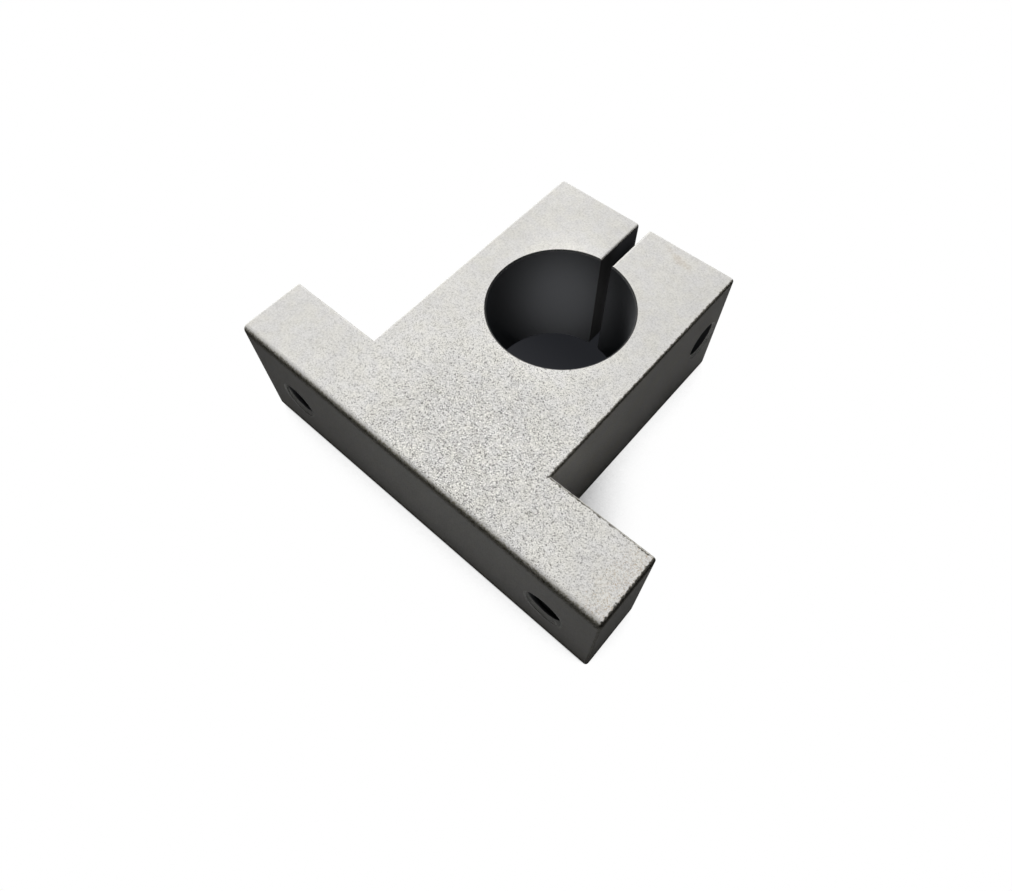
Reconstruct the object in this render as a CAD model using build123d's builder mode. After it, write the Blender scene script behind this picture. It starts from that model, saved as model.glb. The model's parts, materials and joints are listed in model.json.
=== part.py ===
import os

from build123d import *

# Shaft support block: an inverted T sawn from an extruded bar, split above its shaft bore.
# Sizes are in millimetres. The shaft axis is +Z and the foot faces -Y. The block lies on one
# sawn face, and its origin is where the shaft axis meets that face.

# Extruded section
foot_width = 60.0
foot_thickness = 10.0
head_width = 30.0
shaft_height = 30.2  # mounting face of the foot to the shaft axis
crown_wall = 9.1  # bore to the top of the head

# Length of the sawn slice along the shaft
block_length = 19.5

# Shaft bore and the clamping slit above it
shaft_diameter = 20.0
shaft_clearance = 0.04  # on diameter
slit_width = 1.7
bore_edge_break = 0.2

# Clamp screw across the slit: it passes through the +X jaw and bites in the -X jaw
screw_diameter = 5.0
screw_clearance = 0.5  # on diameter
screw_thread_depth = 0.4  # nominal radius less core radius
screw_to_bore_wall = 2.25
screw_entry_break = 0.35

# Tapped holes through the foot
foot_screw_diameter = 6.0
foot_thread_depth = 0.5  # nominal radius less core radius
foot_hole_spacing = 45.0
foot_hole_line = 8.7  # above the sawn face that the block lies on

# Edges blunted by blasting
mounting_rim_radius = 0.85  # where the mounting face meets the sawn faces
end_rim_radius = 0.4  # all round each end face of the foot
head_corner_radius = 0.5
head_rim_radius = 0.35  # where the head and the back of the foot meet the sawn faces
slit_mouth_radius = 0.45

# Places and radii that follow from the sizes above
bore_radius = (shaft_diameter + shaft_clearance) / 2
head_top = bore_radius + crown_wall
foot_face = -shaft_height
foot_back = foot_face + foot_thickness
mid_length = block_length / 2
screw_hole_radius = (screw_diameter + screw_clearance) / 2
screw_core_radius = screw_diameter / 2 - screw_thread_depth
screw_line = bore_radius + screw_to_bore_wall + screw_hole_radius
foot_core_radius = foot_screw_diameter / 2 - foot_thread_depth

with BuildPart() as support_block:
    # Foot and head in one outline, sawn to length
    with BuildSketch():
        with BuildLine():
            Polyline(
                (-foot_width / 2, foot_face),
                (foot_width / 2, foot_face),
                (foot_width / 2, foot_back),
                (head_width / 2, foot_back),
                (head_width / 2, head_top),
                (-head_width / 2, head_top),
                (-head_width / 2, foot_back),
                (-foot_width / 2, foot_back),
                close=True,
            )
        make_face()
    extrude(amount=block_length)

    # Outer corners of the head
    head_corners = support_block.edges().filter_by(Axis.Z).group_by(Axis.Y)[-1]
    fillet(head_corners, head_corner_radius)

    # Long rims of the mounting face
    sawn_rims = support_block.faces().filter_by(Axis.Z).edges()
    mounting_rims = sawn_rims.filter_by(Axis.X).group_by(Axis.Y)[0]
    fillet(mounting_rims, mounting_rim_radius)

    # Rims of the two end faces, whose rounding runs on down the corners of the mounting face
    sawn_rims = support_block.faces().filter_by(Axis.Z).edges()
    end_rims = sawn_rims.filter_by(Axis.Y).group_by(lambda edge: round(abs(edge.center().X), 3))[-1]
    fillet(end_rims, end_rim_radius)

    # Rims behind the foot and round the head, whose rounding runs on down the back corners
    sawn_rims = support_block.faces().filter_by(Axis.Z).edges()
    head_rims = sawn_rims.filter_by(lambda edge: edge.center().Y > foot_back - head_rim_radius)
    fillet(head_rims, head_rim_radius)

    # Shaft bore, its two rims broken
    with Locations((0, 0, mid_length)):
        Hole(bore_radius)
    bore_rims = support_block.edges().filter_by(
        lambda edge: edge.geom_type == GeomType.CIRCLE and abs(edge.radius - bore_radius) < 0.001
    )
    chamfer(bore_rims, bore_edge_break)

    # Slit from the bore out through the top of the head, its mouth blunted
    with BuildSketch():
        Rectangle(slit_width, 2 * head_top, align=(Align.CENTER, Align.MIN))
    extrude(amount=block_length, mode=Mode.SUBTRACT)
    top_face = support_block.faces().filter_by(Axis.Y).group_by(Axis.Y)[-1]
    slit_mouth = top_face.edges().filter_by(Axis.Z).group_by(lambda edge: abs(edge.center().X))[0]
    fillet(slit_mouth, slit_mouth_radius)

    # Clearance hole for the clamp screw in the +X jaw, its entry broken
    screw_entry = Plane(
        origin=(head_width / 2, screw_line, mid_length), x_dir=(0, 1, 0), z_dir=(1, 0, 0)
    )
    with Locations(screw_entry):
        CounterSinkHole(
            screw_hole_radius,
            screw_hole_radius + screw_entry_break,
            depth=head_width / 2,
            counter_sink_angle=90,
        )

    # Tapped hole in the -X jaw
    thread_exit = Plane(
        origin=(-head_width / 2, screw_line, mid_length), x_dir=(0, -1, 0), z_dir=(-1, 0, 0)
    )
    with Locations(thread_exit):
        CounterSinkHole(
            screw_core_radius,
            screw_diameter / 2,
            depth=head_width / 2,
            counter_sink_angle=90,
        )

    # Tapped holes through the foot, countersunk at both ends
    foot_hole_plane = Plane(
        origin=(0, foot_face, foot_hole_line), x_dir=(1, 0, 0), z_dir=(0, -1, 0)
    )
    with Locations(foot_hole_plane):
        with GridLocations(foot_hole_spacing, 0, 2, 1):
            Hole(foot_core_radius, depth=foot_thickness)
    foot_hole_rims = support_block.edges().filter_by(
        lambda edge: edge.geom_type == GeomType.CIRCLE
        and abs(edge.radius - foot_core_radius) < 0.001
    )
    chamfer(foot_hole_rims, foot_thread_depth)

os.makedirs("parts", exist_ok=True)
support_block.part.label = "support_block"
export_step(support_block.part, "parts/support_block.step")
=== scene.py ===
"""The shaft support block: threads in its tapped holes, its blasted finish and a plain studio."""

import json
from math import pi

import bmesh
import bpy
from bpy.props import FloatProperty, FloatVectorProperty, IntProperty, PointerProperty
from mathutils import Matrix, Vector


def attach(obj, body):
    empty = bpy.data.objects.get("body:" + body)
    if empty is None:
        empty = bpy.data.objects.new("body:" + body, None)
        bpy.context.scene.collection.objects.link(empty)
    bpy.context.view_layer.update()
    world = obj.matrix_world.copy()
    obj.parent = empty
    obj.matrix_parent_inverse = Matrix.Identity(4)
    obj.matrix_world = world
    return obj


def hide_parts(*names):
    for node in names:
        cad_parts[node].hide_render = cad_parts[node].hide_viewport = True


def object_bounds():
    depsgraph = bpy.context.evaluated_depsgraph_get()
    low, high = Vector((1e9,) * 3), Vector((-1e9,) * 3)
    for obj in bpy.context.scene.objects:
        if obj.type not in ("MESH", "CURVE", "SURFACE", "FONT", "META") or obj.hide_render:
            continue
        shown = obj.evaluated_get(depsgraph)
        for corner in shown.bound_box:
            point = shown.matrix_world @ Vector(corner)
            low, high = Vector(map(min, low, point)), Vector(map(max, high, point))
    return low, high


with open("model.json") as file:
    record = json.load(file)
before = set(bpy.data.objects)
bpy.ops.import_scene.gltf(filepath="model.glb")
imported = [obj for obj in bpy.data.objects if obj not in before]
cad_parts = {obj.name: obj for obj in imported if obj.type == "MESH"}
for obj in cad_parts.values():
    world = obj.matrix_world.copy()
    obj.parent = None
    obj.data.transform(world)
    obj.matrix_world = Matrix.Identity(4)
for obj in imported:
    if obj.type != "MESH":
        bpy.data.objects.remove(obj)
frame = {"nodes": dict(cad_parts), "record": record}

bl_info = {
    "name": "Shaft support block",
    "version": (1, 0, 0),
    "blender": (4, 5, 0),
    "location": "3D View > Sidebar > Shaft block",
    "description": "Threads, blasted finish and studio for a shaft support block",
    "category": "Object",
}

CAD_NODE = "support_block"
MM = 0.001

cad_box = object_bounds()
mounts = {mount["name"]: mount for mount in frame["record"]["mounts"]}

# Places on the block in millimetres, measured from the shaft axis and the lower sawn face
FOOT_END = cad_box[1][0] / MM
MOUNTING_FACE = cad_box[0][1] / MM
MID_LENGTH = cad_box[1][2] / MM / 2
FOOT_THICKNESS = 10.0
FOOT_MIDDLE = MOUNTING_FACE + FOOT_THICKNESS / 2
FOOT_BACK = MOUNTING_FACE + FOOT_THICKNESS
HEAD_SIDE = 15.0
SLIT_HALF = 0.85
BORE_RADIUS = mounts["shaft_bore"]["dims"]["r_mm"]
BORE_BREAK = 0.2
FOOT_HOLE_ACROSS = mounts["foot_holes"]["dims"]["spacing_x_mm"] / 2
FOOT_HOLE_UP = mounts["foot_holes"]["pos_m"][2] / MM
CLAMP_LINE = mounts["clamp_screw_thread"]["pos_m"][1] / MM
MOUTH_RADIUS = 3.05
FOOT_MOUTH_DEPTH = 0.45
CLAMP_MOUTH_DEPTH = 0.33

# The sharpest grain, the stain and the scratch on the upper sawn face, in millimetres
CRISP_PLACE = (6.0, -25.0)
CRISP_REACH = 40.0
STAIN_PLACE = (7.4, 17.0)
SCRATCH_PLACE = (12.85, 13.3)

# Grain: the fine noise and the facets are this many times finer than the coarse noise
FINE_RATIO = 2.3

# Mesh: angles of sharp edges and of level faces in radians, weld distance in metres
CREASE_ANGLE = 0.6
LEVEL_ANGLE = 0.002
WELD_DISTANCE = 0.001 * MM
NORMAL_WEIGHT = 90

# Thread grooves: widths as shares of the pitch, run-out in turns past each end of the hole
ROOT_SHARE = 1 / 16
CREST_SHARE = 3 / 8
RUN_OUT_TURNS = 1.25
CUTTER_OVERLAP = 0.1 * MM

# Stage: sides of the round floor, sensor width in millimetres, nearest sight in metres
FLOOR_SIDES = 96
SENSOR_WIDTH = 36
NEAR_CLIP = 2 * MM


class Value:
    """One shader socket that can stand in a sum. Each sum on it adds a Math node."""

    def __init__(self, graph, socket):
        self.graph = graph
        self.socket = socket

    def math(self, operation, *operands):
        return self.graph.add("Math", {"operation": operation}, dict(enumerate(operands)))

    def __add__(self, other):
        return self.math("ADD", self, other)

    def __radd__(self, other):
        return self.math("ADD", other, self)

    def __sub__(self, other):
        return self.math("SUBTRACT", self, other)

    def __rsub__(self, other):
        return self.math("SUBTRACT", other, self)

    def __mul__(self, other):
        return self.math("MULTIPLY", self, other)

    def __rmul__(self, other):
        return self.math("MULTIPLY", other, self)

    def __pow__(self, other):
        return self.math("POWER", self, other)

    def __abs__(self):
        return self.math("ABSOLUTE", self)

    def least(self, other):
        return self.math("MINIMUM", self, other)

    def most(self, other):
        return self.math("MAXIMUM", self, other)

    def ramp(self, low, high):
        """0 below low, 1 above high and smooth between them."""
        settings = {"interpolation_type": "SMOOTHSTEP", "clamp": True}
        sockets = {"Value": self, "From Min": low, "From Max": high}
        return self.graph.add("MapRange", settings, sockets)


class Graph:
    """The node tree of one material or world."""

    def __init__(self, owner):
        owner.use_nodes = True
        self.tree = owner.node_tree
        self.tree.nodes.clear()

    def node(self, kind, settings, sockets):
        """Adds a node, sets it up first, then fills its sockets with values or links."""
        made = self.tree.nodes.new("ShaderNode" + kind)
        for name, value in settings.items():
            setattr(made, name, value)
        for key, value in sockets.items():
            if isinstance(value, Value):
                self.tree.links.new(value.socket, made.inputs[key])
            else:
                made.inputs[key].default_value = value
        return made

    def add(self, kind, settings=None, sockets=None, output=0):
        """Adds a node and gives one of its outputs."""
        made = self.node(kind, settings or {}, sockets or {})
        return Value(self, made.outputs[output])

    def blend(self, factor, low, high):
        """A colour that runs from low to high as factor runs from 0 to 1."""
        return self.add("Mix", {"data_type": "RGBA"}, {0: factor, 6: low, 7: high}, output=2)

    def scale(self, colour, factor):
        """A colour or a vector times a number."""
        return self.add("VectorMath", {"operation": "SCALE"}, {0: colour, "Scale": factor})

    def parts(self, vector):
        """The three parts of a vector or colour as values."""
        split = self.node("SeparateXYZ", {}, {0: vector})
        return [Value(self, socket) for socket in split.outputs]

    def distance(self, first, second):
        """How far a place lies from an axis, from its offsets in two directions."""
        return (first * first + second * second) ** 0.5

    def millimetres(self):
        """The place on the object in millimetres."""
        metres = self.add("TexCoord", output="Object")
        return self.scale(metres, 1 / MM)

    def noise(self, position, scale):
        """Soft noise around 0. The scale is in lumps a millimetre."""
        settings = {"noise_dimensions": "3D", "normalize": True}
        sockets = {"Vector": position, "Scale": scale, "Detail": 2.0, "Roughness": 0.6}
        return self.add("TexNoise", settings, sockets) - 0.5

    def seen(self):
        """1 for a ray from the camera, from gloss or through glass, otherwise 0."""
        ray = self.node("LightPath", {}, {})
        camera = Value(self, ray.outputs["Is Camera Ray"])
        glossy = Value(self, ray.outputs["Is Glossy Ray"])
        through = Value(self, ray.outputs["Is Transmission Ray"])
        return camera.most(glossy).most(through)


class BlockThreads(bpy.types.PropertyGroup):
    """Sizes of the threads cut into the tapped holes."""

    foot_diameter: FloatProperty(
        name="Foot thread",
        description="Outer diameter of the thread in the foot's holes",
        default=6.0 * MM,
        unit="LENGTH",
        precision=5,
    )
    foot_pitch: FloatProperty(
        name="Foot pitch",
        description="Distance from one turn to the next in the foot's holes",
        default=1.0 * MM,
        unit="LENGTH",
        precision=5,
    )
    clamp_diameter: FloatProperty(
        name="Clamp thread",
        description="Outer diameter of the thread for the clamp screw",
        default=5.0 * MM,
        unit="LENGTH",
        precision=5,
    )
    clamp_pitch: FloatProperty(
        name="Clamp pitch",
        description="Distance from one turn to the next for the clamp screw",
        default=0.8 * MM,
        unit="LENGTH",
        precision=5,
    )
    steps: IntProperty(
        name="Steps a turn",
        description="Number of straight runs in one turn of a thread",
        default=36,
        min=12,
    )


class BlockFinish(bpy.types.PropertyGroup):
    """Colours and grain of the blasted, anodised metal, with painted shade and light in rims,
    hollows and mouths.
    """

    metal: FloatVectorProperty(
        name="Metal",
        description="Colour of the blasted metal",
        default=(0.68, 0.674, 0.645),
        subtype="COLOR",
    )
    pit: FloatVectorProperty(
        name="Pits",
        description="Colour in the pits of the grain",
        default=(0.13, 0.127, 0.12),
        subtype="COLOR",
    )
    # Rims: partly wear, partly painted shade where they turn away from the key lamp
    rim_wear_and_shade: FloatVectorProperty(
        name="Rims",
        description="Colour of the worn rims",
        default=(0.245, 0.23, 0.187),
        subtype="COLOR",
    )
    # Dark band along the +X rims: partly dirt, partly painted shade where rims turn from the key
    # lamp
    smudge_and_shade: FloatVectorProperty(
        name="Smudges",
        description="Colour of the dirt along the rims of the +X sides",
        default=(0.075, 0.071, 0.062),
        subtype="COLOR",
    )
    stain: FloatVectorProperty(
        name="Stains",
        description="Colour of the stain and the flecks on the upper sawn face",
        default=(0.40, 0.305, 0.20),
        subtype="COLOR",
    )
    # Lighter than the metal: painted light that lifts the shade in the countersunk mouths
    mouth: FloatVectorProperty(
        name="Hole mouths",
        description="Colour of the countersunk mouths of the holes",
        default=(0.85, 0.845, 0.82),
        subtype="COLOR",
    )
    # Much darker than the metal: the machined finish with painted shade in the bore and holes
    bore: FloatVectorProperty(
        name="Bore",
        description="Colour of the machined bore and holes",
        default=(0.105, 0.108, 0.114),
        subtype="COLOR",
    )
    # Painted shade on the bore's broken rims and deep in the slit near the bore
    bore_rim_and_slit_shade: FloatVectorProperty(
        name="Bore rims",
        description="Colour of the broken rims of the bore",
        default=(0.055, 0.055, 0.055),
        subtype="COLOR",
    )
    # Dark colour of the slit's walls: painted shade in the narrow slit
    slit: FloatVectorProperty(
        name="Slit",
        description="Colour of the walls of the slit",
        default=(0.13, 0.13, 0.138),
        subtype="COLOR",
    )
    sheen: FloatProperty(
        name="Sheen",
        description="How much the bore shines as bare metal",
        default=0.2,
        min=0.0,
        max=1.0,
        subtype="FACTOR",
    )
    rim_per_mm: FloatProperty(
        name="Rim grain",
        description="Lumps in a millimetre along the ragged rims",
        default=2.6,
        min=0.1,
    )
    grain_per_mm: FloatProperty(
        name="Grain",
        description="Lumps of the coarse grain in a millimetre of a sawn face",
        default=3.6,
        min=0.1,
    )
    relief: FloatProperty(
        name="Relief",
        description="Height of the grain",
        default=0.012 * MM,
        unit="LENGTH",
        precision=6,
    )
    roughness: FloatProperty(
        name="Roughness",
        description="Roughness of the blasted metal",
        default=0.58,
        min=0.0,
        max=1.0,
        subtype="FACTOR",
    )


class BlockStudio(bpy.types.PropertyGroup):
    """Floor, light and camera."""

    floor_radius: FloatProperty(
        name="Floor",
        description="Radius of the round floor",
        default=2.5,
        unit="LENGTH",
    )
    floor_colour: FloatVectorProperty(
        name="Floor colour",
        description="Colour that the floor throws back at the block",
        default=(0.24, 0.24, 0.24),
        subtype="COLOR",
    )
    # Painted shadow on the floor under the bore and under the slit
    bore_floor_shadow: FloatVectorProperty(
        name="Bore floor",
        description="Colour of the floor under the bore",
        default=(0.031, 0.032, 0.036),
        subtype="COLOR",
    )
    slit_floor_shadow: FloatVectorProperty(
        name="Slit floor",
        description="Colour of the floor under the slit and beside it",
        default=(0.017, 0.018, 0.021),
        subtype="COLOR",
    )
    shadow_reach: FloatProperty(
        name="Shadow reach",
        description="How far from the block its shadow darkens the floor",
        default=0.022,
        unit="LENGTH",
        precision=4,
    )
    aim: FloatVectorProperty(
        name="Aim",
        description="Point that the large lamps shine at",
        default=(0.0, -0.006, 0.015),
        subtype="TRANSLATION",
        unit="LENGTH",
        precision=4,
    )
    lamp_distance: FloatProperty(
        name="Lamp distance",
        description="Distance of the large lamps from their aim",
        default=0.7,
        unit="LENGTH",
    )
    lamp_size: FloatProperty(
        name="Lamp size",
        description="Width of each large lamp",
        default=0.35,
        unit="LENGTH",
    )
    key_towards: FloatVectorProperty(
        name="Key side",
        description="Direction from the block to the key lamp",
        default=(-0.612, 0.354, 0.707),
        subtype="XYZ",
    )
    key_power: FloatProperty(
        name="Key light",
        description="Power of the large lamp behind the block",
        default=8.1,
        unit="POWER",
    )
    front_towards: FloatVectorProperty(
        name="Front side",
        description="Direction from the block to the front lamp",
        default=(0.470, -0.671, 0.574),
        subtype="XYZ",
    )
    front_power: FloatProperty(
        name="Front light",
        description="Power of the weak lamp on the side of the camera",
        default=0.20,
        unit="POWER",
    )
    bore_aim: FloatVectorProperty(
        name="Bore aim",
        description="Point on the bore's wall that the narrow lamp shines at",
        default=(-0.0056, 0.0083, 0.009),
        subtype="TRANSLATION",
        unit="LENGTH",
        precision=4,
    )
    bore_towards: FloatVectorProperty(
        name="Bore side",
        description="Direction from the bore's wall to the narrow lamp",
        default=(0.36, -0.57, 0.74),
        subtype="XYZ",
    )
    bore_distance: FloatProperty(
        name="Bore lamp distance",
        description="Distance of the narrow lamp from its aim",
        default=0.12,
        unit="LENGTH",
    )
    bore_spread: FloatProperty(
        name="Bore lamp spread",
        description="Angle of the narrow lamp's cone",
        default=0.157,
        subtype="ANGLE",
    )
    bore_lamp_size: FloatProperty(
        name="Bore lamp size",
        description="Radius of the narrow lamp, which softens its shadow",
        default=0.004,
        unit="LENGTH",
        precision=4,
    )
    bore_power: FloatProperty(
        name="Bore light",
        description="Power of the narrow lamp that shines into the bore",
        default=0.44,
        unit="POWER",
    )
    fill: FloatProperty(
        name="Fill",
        description="Strength of the even light from all round",
        default=0.004,
        min=0.0,
    )
    camera_place: FloatVectorProperty(
        name="Camera",
        description="Place of the camera",
        default=(0.035777, -0.050554, 0.095802),
        subtype="TRANSLATION",
        unit="LENGTH",
        precision=5,
    )
    camera_turn: FloatVectorProperty(
        name="Camera turn",
        description="Turn of the camera about X, Y and Z",
        default=(0.530613, 0.021673, 0.727486),
        subtype="EULER",
        unit="ROTATION",
    )
    lens: FloatProperty(
        name="Lens",
        description="Focal length of the camera in millimetres",
        default=25.781,
    )
    shift: FloatVectorProperty(
        name="Shift",
        description="Shift of the picture across and up, as shares of its width",
        size=2,
        default=(0.00925, -0.02976),
    )


def link_new(context, name, data):
    """Puts a new object into the scene, at the origin."""
    made = bpy.data.objects.new(name, data)
    context.scene.collection.objects.link(made)
    return made


def thread_cutter(bm, start, along, length, sizes, steps):
    """Adds a helical ridge as wide as the groove of a tapped hole, from start along the hole."""
    core, outer, pitch = sizes
    across = along.orthogonal().normalized()
    root_half = pitch * ROOT_SHARE
    crest_half = pitch * CREST_SHARE
    crest_half += CUTTER_OVERLAP * (crest_half - root_half) / (outer - core)
    inner = core - CUTTER_OVERLAP
    corners = (
        (inner, -crest_half),
        (outer, -root_half),
        (outer, root_half),
        (inner, crest_half),
    )
    profile = [bm.verts.new(start + across * out + along * up) for out, up in corners]
    face = bm.faces.new(profile)
    count = round(length / pitch * steps)
    bmesh.ops.spin(
        bm,
        geom=profile + list(face.edges) + [face],
        cent=start,
        axis=along,
        dvec=along * (pitch / steps),
        angle=2 * pi * count / steps,
        steps=count,
        use_merge=False,
        use_duplicate=False,
    )


def tapped_holes(threads):
    """Start, direction and length of each tapped hole, with its core, outer radius and pitch."""
    foot = mounts["foot_holes"]
    core = foot["dims"]["hole_r_mm"] * MM
    sizes = (core, threads.foot_diameter / 2, threads.foot_pitch)
    middle = Vector(foot["pos_m"])
    inwards = -Vector(foot["axis"])
    holes = []
    for side in (-1, 1):
        mouth = middle + Vector((side * FOOT_HOLE_ACROSS * MM, 0, 0))
        holes.append((mouth, inwards, FOOT_THICKNESS * MM, sizes))
    clamp = mounts["clamp_screw_thread"]
    core = clamp["dims"]["r_mm"] * MM
    sizes = (core, threads.clamp_diameter / 2, threads.clamp_pitch)
    mouth = Vector((-HEAD_SIDE * MM, *clamp["pos_m"][1:]))
    holes.append((mouth, Vector(clamp["axis"]), (HEAD_SIDE - SLIT_HALF) * MM, sizes))
    return holes


class SHAFTBLOCK_OT_cut_threads(bpy.types.Operator):
    """Cut the threads into a copy of the block, which stands for the plain one"""

    bl_idname = "shaftblock.cut_threads"
    bl_label = "Cut threads"

    def execute(self, context):
        plain = frame["nodes"][CAD_NODE]
        bm = bmesh.new()
        bm.from_mesh(plain.data)
        bmesh.ops.remove_doubles(bm, verts=bm.verts, dist=WELD_DISTANCE)
        block = link_new(context, "threaded_block", bpy.data.meshes.new("threaded_block"))
        bm.to_mesh(block.data)
        bm.free()
        plain_faces = len(block.data.polygons)

        cutter = self.make_cutter(context)
        cut = block.modifiers.new("cut", "BOOLEAN")
        cut.operation = "DIFFERENCE"
        cut.solver = "EXACT"
        cut.object = cutter
        evaluated = block.evaluated_get(context.evaluated_depsgraph_get())
        threaded = bpy.data.meshes.new_from_object(evaluated)
        block.modifiers.clear()
        bpy.data.objects.remove(cutter)
        if len(threaded.polygons) <= plain_faces:
            raise RuntimeError("the threads did not cut the block")

        bm = bmesh.new()
        bm.from_mesh(threaded)
        bmesh.ops.dissolve_limit(
            bm,
            angle_limit=LEVEL_ANGLE,
            use_dissolve_boundaries=False,
            verts=bm.verts,
            edges=bm.edges,
        )
        bm.normal_update()
        for face in bm.faces:
            face.smooth = True
        for edge in bm.edges:
            edge.smooth = edge.calc_face_angle(pi) < CREASE_ANGLE
        bm.to_mesh(threaded)
        bm.free()
        block.data = threaded
        even = block.modifiers.new("even", "WEIGHTED_NORMAL")
        even.keep_sharp = True
        even.weight = NORMAL_WEIGHT

        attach(block, "root")
        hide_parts(CAD_NODE)
        return {"FINISHED"}

    def make_cutter(self, context):
        """One object with the helical ridges of all the threads."""
        threads = context.scene.block_threads
        bm = bmesh.new()
        for start, along, length, sizes in tapped_holes(threads):
            pitch = sizes[-1]
            run_out = RUN_OUT_TURNS * pitch
            outside = start - along * run_out
            thread_cutter(bm, outside, along, length + 2 * run_out, sizes, threads.steps)
        bmesh.ops.holes_fill(bm, edges=[edge for edge in bm.edges if edge.is_boundary], sides=0)
        bmesh.ops.recalc_face_normals(bm, faces=bm.faces)
        if not all(edge.is_manifold for edge in bm.edges):
            raise RuntimeError("a thread cutter is not closed")
        cutter = link_new(context, "thread_cutters", bpy.data.meshes.new("thread_cutters"))
        bm.to_mesh(cutter.data)
        bm.free()
        return cutter


class SHAFTBLOCK_OT_finish_metal(bpy.types.Operator):
    """Give the block its blasted, anodised metal, with painted shade and painted light"""

    bl_idname = "shaftblock.finish_metal"
    bl_label = "Finish metal"

    def execute(self, context):
        finish = context.scene.block_finish
        metal = bpy.data.materials.new("blasted_aluminium")
        graph = Graph(metal)

        place = graph.millimetres()
        x, y, z = graph.parts(place)
        across, along, up = graph.parts(graph.add("TexCoord", output="Normal"))
        facing = abs(up)
        sawn = facing.ramp(0.80, 0.97)
        from_sawn = MID_LENGTH - abs(z - MID_LENGTH)
        cells = graph.add(
            "TexVoronoi",
            {"voronoi_dimensions": "3D", "feature": "F1"},
            {"Vector": place, "Scale": FINE_RATIO * finish.grain_per_mm},
            output="Color",
        )
        facet, glint, brown = graph.parts(cells)
        ragged = graph.noise(place, finish.rim_per_mm)
        lumps = graph.noise(place, 0.9)

        # Machined surfaces: the bore with its broken rims, the slit, the holes and their mouths,
        # with painted shade and light
        from_shaft = graph.distance(x, y)
        in_bore = 1 - from_shaft.ramp(BORE_RADIUS + 0.002, BORE_RADIUS + 0.012)
        # The bore's broken rims are painted dark as their shade
        break_end = BORE_RADIUS + BORE_BREAK
        bore_edge = (1 - from_shaft.ramp(break_end, break_end + 0.04)) * (1 - in_bore)
        bore_edge = bore_edge * (1 - from_sawn.ramp(BORE_BREAK, BORE_BREAK + 0.04))
        in_slit = (1 - abs(x).ramp(SLIT_HALF + 0.03, SLIT_HALF + 0.1)) * y.ramp(8.0, 8.5)
        from_hole = graph.distance(abs(x) - FOOT_HOLE_ACROSS, z - FOOT_HOLE_UP)
        from_mouth = FOOT_THICKNESS / 2 - abs(y - FOOT_MIDDLE)
        foot_hole = 1 - from_hole.ramp(MOUTH_RADIUS, MOUTH_RADIUS + 0.05)
        in_foot_hole = foot_hole * from_mouth.ramp(FOOT_MOUTH_DEPTH, FOOT_MOUTH_DEPTH + 0.15)
        from_hole = graph.distance(y - CLAMP_LINE, z - MID_LENGTH)
        from_mouth = HEAD_SIDE - abs(x)
        clamp_hole = 1 - from_hole.ramp(MOUTH_RADIUS, MOUTH_RADIUS + 0.05)
        in_clamp_hole = clamp_hole * from_mouth.ramp(CLAMP_MOUTH_DEPTH, CLAMP_MOUTH_DEPTH + 0.09)
        machined = in_bore.most(in_slit).most(in_foot_hole).most(in_clamp_hole)

        # Rims: wear and painted shade, darkest on the faces turned from the key lamp (-Y and +X)
        not_toward_key = (across - along).ramp(-0.35, 0.0)
        foot_not_toward_key = (1 - y.ramp(FOOT_BACK - 0.1, FOOT_BACK + 0.1)) * not_toward_key
        band = 1 - (from_sawn + ragged * 1.2).ramp(0.2 + 0.6 * foot_not_toward_key, 0.8 + 1.4 * foot_not_toward_key)
        to_side = (FOOT_END - 0.1 - x).least((HEAD_SIDE - 0.04 - x).most(FOOT_BACK - 0.1 - y))
        to_front = y - (MOUNTING_FACE - 0.15)
        worn_and_shaded = 1 - (to_front.least(to_side) + ragged * 0.5).ramp(0.15, 0.30)
        tilt = (1 - facing) * (1 + ragged * 3 + (facet - 0.5) * 1.2)
        rim_wear_and_shade = (band * tilt.ramp(0.1, 0.4)).most(worn_and_shaded * band) * (0.45 + 0.55 * not_toward_key)
        rim_wear_and_shade = rim_wear_and_shade * (1 - 0.4 * glint.ramp(0.62, 0.9))
        # Vertical corners get a painted dark line as their shade
        rim_wear_and_shade = rim_wear_and_shade.most(abs(across * along).ramp(0.12, 0.35) * 0.45)
        # Dark band on the rims near the +X sides: partly dirt, partly painted shade, strongest away
        # from the key lamp
        smudge_and_shade = (1 - (to_side + ragged * 0.8).ramp(0.17, 0.29)) * facing.ramp(0.0, 0.5)
        on_head = y.ramp(FOOT_BACK - 1, FOOT_BACK + 1)
        smudge_and_shade = smudge_and_shade * (0.15 + 0.85 * not_toward_key) * (0.9 - 0.35 * on_head)

        # Grain of the blasted faces: crisp in the middle of the foot, soft far from it, and
        # plain to see again on the sides that face the key lamp
        from_crisp = graph.distance(x - CRISP_PLACE[0], y - CRISP_PLACE[1])
        crisp = 1 - from_crisp.ramp(0, CRISP_REACH)
        peak = crisp * crisp
        coarse = graph.noise(place, finish.grain_per_mm)
        fine = graph.noise(place, FINE_RATIO * finish.grain_per_mm)
        side_toward_key = (1 - sawn) * (1 - not_toward_key)
        coarse_share = 0.5 + peak + 0.6 * side_toward_key
        fine_share = 0.45 + 6.4 * peak + 1.1 * side_toward_key
        facet_share = 0.02 + 2.2 * peak + 0.3 * side_toward_key
        grain = coarse * coarse_share + fine * fine_share
        speckle = grain * 1.2 + lumps * 0.25 + (facet - 0.5) * facet_share
        depth = 0.35 + 0.65 * sawn.most(side_toward_key)
        pits = (0.24 - 0.4 * peak - speckle * depth).ramp(-0.1, 1.25)
        glints = glint.ramp(0.5, 1.0) * peak * sawn

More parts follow.
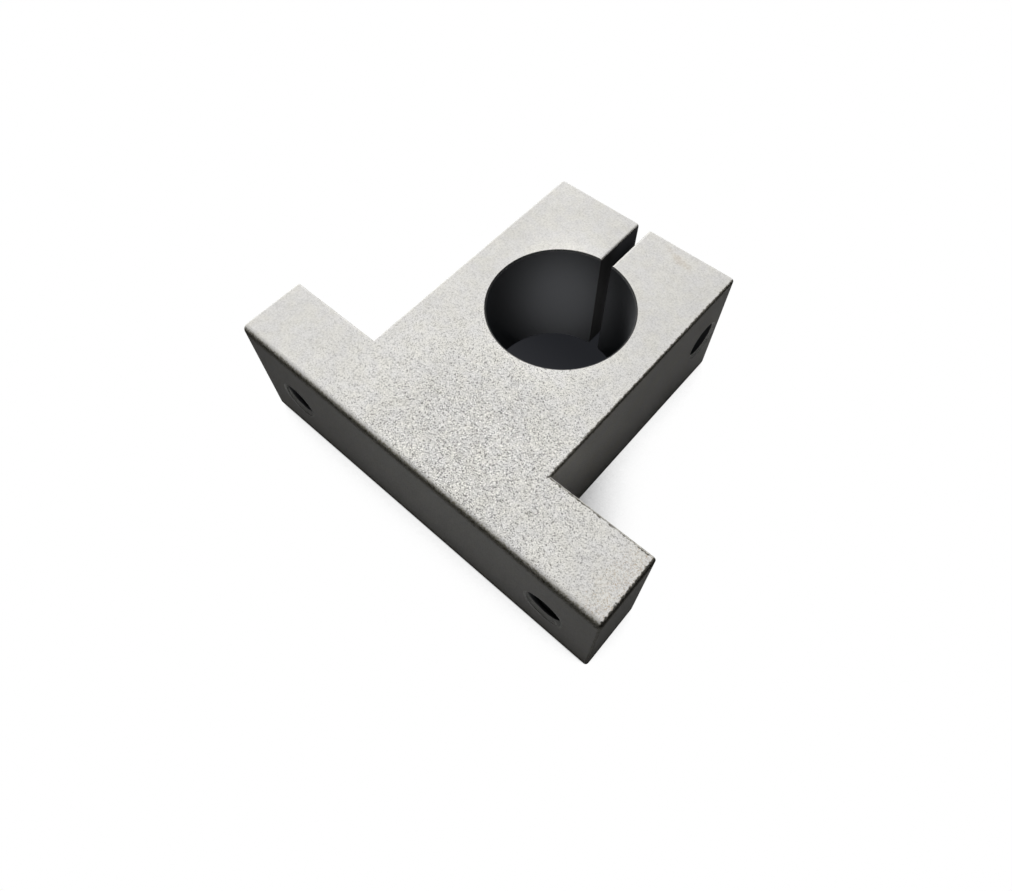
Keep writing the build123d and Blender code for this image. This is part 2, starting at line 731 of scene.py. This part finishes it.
        # A stain and a hairline scratch on the +X jaw, brown flecks near the +X end of the foot
        stain_x = x - STAIN_PLACE[0]
        stain_y = (y - STAIN_PLACE[1] + stain_x * 0.25) * 3.5
        stain = 1 - (graph.distance(stain_x, stain_y) + lumps * 6).ramp(0.4, 3.4)
        fleck = (brown + 0.04 * (x - 27)).ramp(0.93, 0.98)
        fleck = fleck.most(ragged.ramp(0.02, 0.16) * x.ramp(24, 30) * 0.35)
        fleck = fleck * sawn * (1 - y.ramp(FOOT_BACK, FOOT_BACK + 1))
        scratch_x = x - SCRATCH_PLACE[0]
        scratch_y = y - SCRATCH_PLACE[1]
        scratch = (1 - abs(scratch_x - scratch_y * 0.07).ramp(0.02, 0.09)) * sawn
        scratch = scratch * (1 - abs(scratch_y).ramp(1.5, 2.0)) * (0.10 + ragged * 0.5)

        tint = graph.noise(place, 0.5).ramp(-0.2, 0.2)
        colour = graph.blend(pits, (*finish.metal, 1), (*finish.pit, 1))
        warm = graph.blend(tint, (0.99, 0.985, 1.005, 1), (1.01, 1.0, 0.985, 1))
        colour = graph.add("VectorMath", {"operation": "MULTIPLY"}, {0: colour, 1: warm})
        colour = graph.scale(colour, (1 + 0.14 * graph.noise(place, 0.11)) * (1 + 0.4 * glints))
        # Paint in layers: real stains, flecks and a scratch; rims and smudges of wear and painted
        # shade;
        # painted light in the hole mouths; painted shade in the bore, holes, slit and bore rims
        layers = (
            (stain * 0.25, finish.stain),
            (fleck * 0.7, finish.stain),
            (scratch, finish.pit),
            (rim_wear_and_shade, finish.rim_wear_and_shade),
            (smudge_and_shade, finish.smudge_and_shade),
            (foot_hole.most(clamp_hole), finish.mouth),
            (machined, finish.bore),
            (in_slit, finish.slit),
            (in_slit * (1 - y.ramp(11.5, 15)), finish.bore_rim_and_slit_shade),
            (bore_edge, finish.bore_rim_and_slit_shade),
        )
        for amount, paint in layers:
            colour = graph.blend(amount, colour, (*paint, 1))

        grit = rim_wear_and_shade.most(smudge_and_shade) * (1 - machined) * (coarse * 2.5 + (facet - 0.5) * 0.8)
        colour = graph.scale(colour, 1 + grit)

        height = grain * (1 - machined * 0.9) * (0.45 + 0.55 * sawn.most(rim_wear_and_shade).most(side_toward_key))
        bump = graph.add(
            "Bump", {}, {"Strength": 0.8, "Distance": finish.relief, "Height": height}
        )
        shader = graph.add(
            "BsdfPrincipled",
            {},
            {
                "Base Color": colour,
                "Metallic": in_bore * (1 - in_slit) * finish.sheen,
                "Roughness": finish.roughness + coarse * 0.25 * (1 - machined),
                "Specular IOR Level": 0.0,
                "Normal": bump,
            },
        )
        graph.node("OutputMaterial", {}, {"Surface": shader})
        block = bpy.data.objects["threaded_block"]
        block.data.materials.clear()
        block.data.materials.append(metal)
        return {"FINISHED"}


class SHAFTBLOCK_OT_build_studio(bpy.types.Operator):
    """Lay the floor, hang the lamps and stand the camera"""

    bl_idname = "shaftblock.build_studio"
    bl_label = "Build studio"

    def execute(self, context):
        studio = context.scene.block_studio
        self.lay_floor(context, studio)
        self.light(context, studio)
        self.stand_camera(context, studio)
        return {"FINISHED"}

    def lay_floor(self, context, studio):
        """A white floor with the block's shadow, which throws less light at some of its sides."""
        bm = bmesh.new()
        bmesh.ops.create_circle(bm, cap_ends=True, radius=studio.floor_radius, segments=FLOOR_SIDES)
        floor = link_new(context, "floor", bpy.data.meshes.new("floor"))
        bm.to_mesh(floor.data)
        bm.free()

        paint = bpy.data.materials.new("floor_paint")
        graph = Graph(paint)
        x, y, _ = graph.parts(graph.millimetres())
        open_sky = graph.add(
            "AmbientOcclusion",
            {"samples": 16, "only_local": False},
            {"Distance": studio.shadow_reach},
            output="AO",
        )
        # The floor under the bore and the slit is painted dark by its place, as their shadow
        past_bore = graph.distance(x, y).ramp(BORE_RADIUS + 0.1, BORE_RADIUS + 0.5)
        past_slit = abs(x).ramp(SLIT_HALF + 0.15, SLIT_HALF + 0.55)
        past_slit = past_slit.most(y.ramp(17, 19)).most(1 - y.ramp(8, 9))
        lit = open_sky.ramp(0.24, 0.56) * past_bore * past_slit
        painted_floor_shadow = graph.blend(y.ramp(-5, 9), (*studio.bore_floor_shadow, 1), (*studio.slit_floor_shadow, 1))
        tone = graph.blend(lit, painted_floor_shadow, (1, 1, 1, 1))
        white = graph.add("Emission", {}, {"Color": tone, "Strength": 1.0})
        spread = (0.1 + x.ramp(-60, 10)) * (1 - 0.5 * x.ramp(26, 40))
        spread = spread * (1 + 2.5 * y.ramp(-11, -2) * (1 - y.ramp(3, 10)))
        bounce = (0.2 + 0.8 * open_sky.ramp(0.45, 0.85)) * spread
        throw = graph.add("BsdfDiffuse", {}, {"Color": graph.scale(studio.floor_colour, bounce)})
        surface = graph.add("MixShader", {}, {0: graph.seen(), 1: throw, 2: white})
        graph.node("OutputMaterial", {}, {"Surface": surface})
        floor.data.materials.append(paint)

    def hang(self, context, lamp, aim, towards, distance):
        """Hangs a lamp so that it shines at its aim."""
        hung = link_new(context, lamp.name, lamp)
        aim = Vector(aim)
        hung.location = aim + Vector(towards).normalized() * distance
        hung.rotation_euler = (aim - hung.location).to_track_quat("-Z", "Y").to_euler()
        hung.visible_glossy = False

    def light(self, context, studio):
        """A white surround, two large lamps and a narrow one for the bore."""
        world = bpy.data.worlds.new("studio")
        context.scene.world = world
        graph = Graph(world)
        strength = studio.fill + graph.seen() * (1 - studio.fill)
        sky = graph.add("Background", {}, {"Color": (1, 1, 1, 1), "Strength": strength})
        graph.node("OutputWorld", {}, {"Surface": sky})

        large_lamps = (
            ("key", studio.key_power, studio.key_towards),
            ("front", studio.front_power, studio.front_towards),
        )
        for name, power, towards in large_lamps:
            lamp = bpy.data.lights.new(name, "AREA")
            lamp.shape = "SQUARE"
            lamp.size = studio.lamp_size
            lamp.energy = power
            self.hang(context, lamp, studio.aim, towards, studio.lamp_distance)

        lamp = bpy.data.lights.new("bore_lamp", "SPOT")
        lamp.energy = studio.bore_power
        lamp.spot_size = studio.bore_spread
        lamp.spot_blend = 1.0
        lamp.shadow_soft_size = studio.bore_lamp_size
        self.hang(context, lamp, studio.bore_aim, studio.bore_towards, studio.bore_distance)

    def stand_camera(self, context, studio):
        """The photograph's camera."""
        data = bpy.data.cameras.new("camera")
        data.sensor_width = SENSOR_WIDTH
        data.lens = studio.lens
        data.shift_x, data.shift_y = studio.shift
        data.clip_start = NEAR_CLIP
        camera = link_new(context, "camera", data)
        camera.location = studio.camera_place
        camera.rotation_euler = studio.camera_turn
        context.scene.camera = camera
        context.scene.view_settings.view_transform = "Standard"


class SHAFTBLOCK_PT_steps(bpy.types.Panel):
    """The steps that dress the block, in their order"""

    bl_idname = "SHAFTBLOCK_PT_steps"
    bl_label = "Shaft support block"
    bl_space_type = "VIEW_3D"
    bl_region_type = "UI"
    bl_category = "Shaft block"

    def draw(self, context):
        for step in STEPS:
            self.layout.operator(step.bl_idname)
        for group in SETTINGS:
            settings = getattr(context.scene, group)
            for name in settings.__annotations__:
                self.layout.prop(settings, name)


SETTINGS = {
    "block_threads": BlockThreads,
    "block_finish": BlockFinish,
    "block_studio": BlockStudio,
}
STEPS = (SHAFTBLOCK_OT_cut_threads, SHAFTBLOCK_OT_finish_metal, SHAFTBLOCK_OT_build_studio)
CLASSES = (*SETTINGS.values(), *STEPS, SHAFTBLOCK_PT_steps)


def register():
    for each in CLASSES:
        bpy.utils.register_class(each)
    for name, group in SETTINGS.items():
        setattr(bpy.types.Scene, name, PointerProperty(type=group))


def unregister():
    for name in SETTINGS:
        delattr(bpy.types.Scene, name)
    for each in reversed(CLASSES):
        bpy.utils.unregister_class(each)


def main():
    register()
    bpy.ops.shaftblock.cut_threads()
    bpy.ops.shaftblock.finish_metal()
    bpy.ops.shaftblock.build_studio()


if __name__ == "__main__":
    main()
